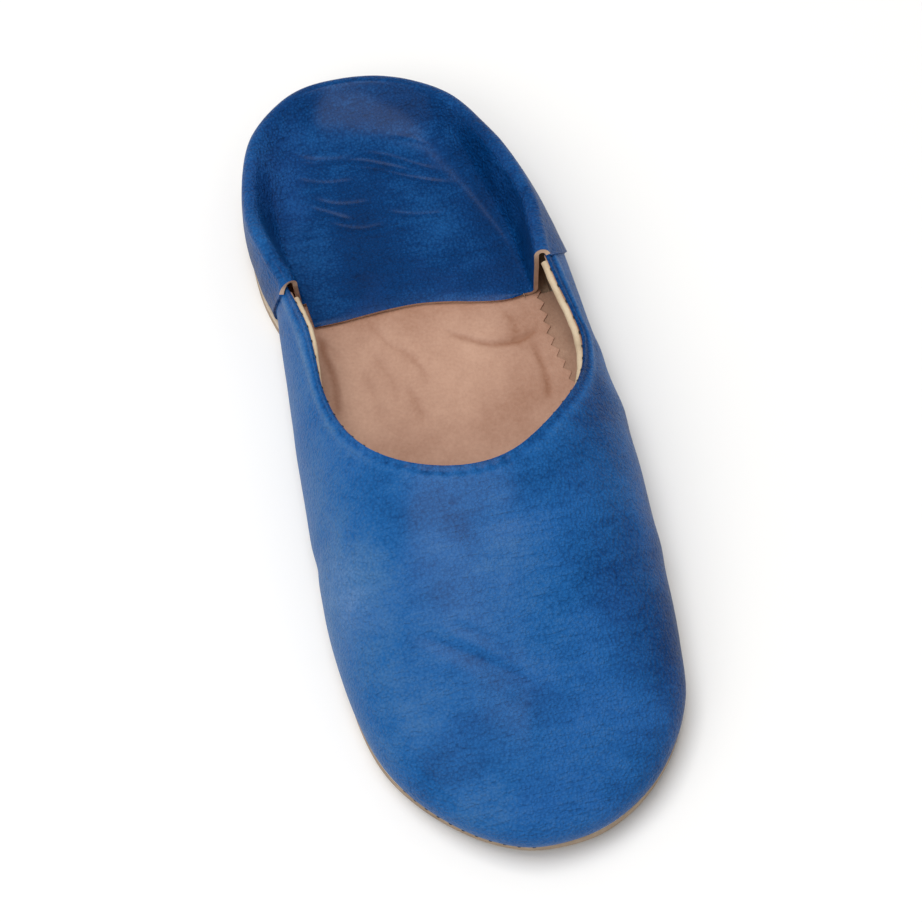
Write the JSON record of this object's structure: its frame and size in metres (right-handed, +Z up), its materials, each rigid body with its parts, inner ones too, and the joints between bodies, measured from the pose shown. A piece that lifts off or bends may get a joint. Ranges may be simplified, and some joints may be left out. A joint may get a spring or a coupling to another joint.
{
  "type": "babouche slipper",
  "caption": "Flat leather babouche slipper for the right foot: hollow vamp open at the throat, back folded down inside as a flap, flat sole with a slight toe spring.",
  "frame": {"origin": "centre of the bounding box in plan, on the floor under the sole", "axes": "+Y from the toe to the heel, +X to the medial (big toe) side, +Z up"},
  "size_m": [0.1068, 0.2778, 0.0492],
  "materials": {
    "sole_leather": "undyed cut sole leather, slightly rough",
    "board_leather": "undyed tan leather, matte",
    "sock_leather": "undyed pink-tan leather, matte",
    "upper_leather": "hand-dyed blue grain leather, soft satin",
    "binding_leather": "cream leather strip, rolled, matte"
  },
  "bodies": {
    "root": {"outsole": "sole_leather", "insole": "board_leather", "sock": "sock_leather", "upper": "upper_leather", "throat_binding": "binding_leather"}
  },
  "joints": []
}
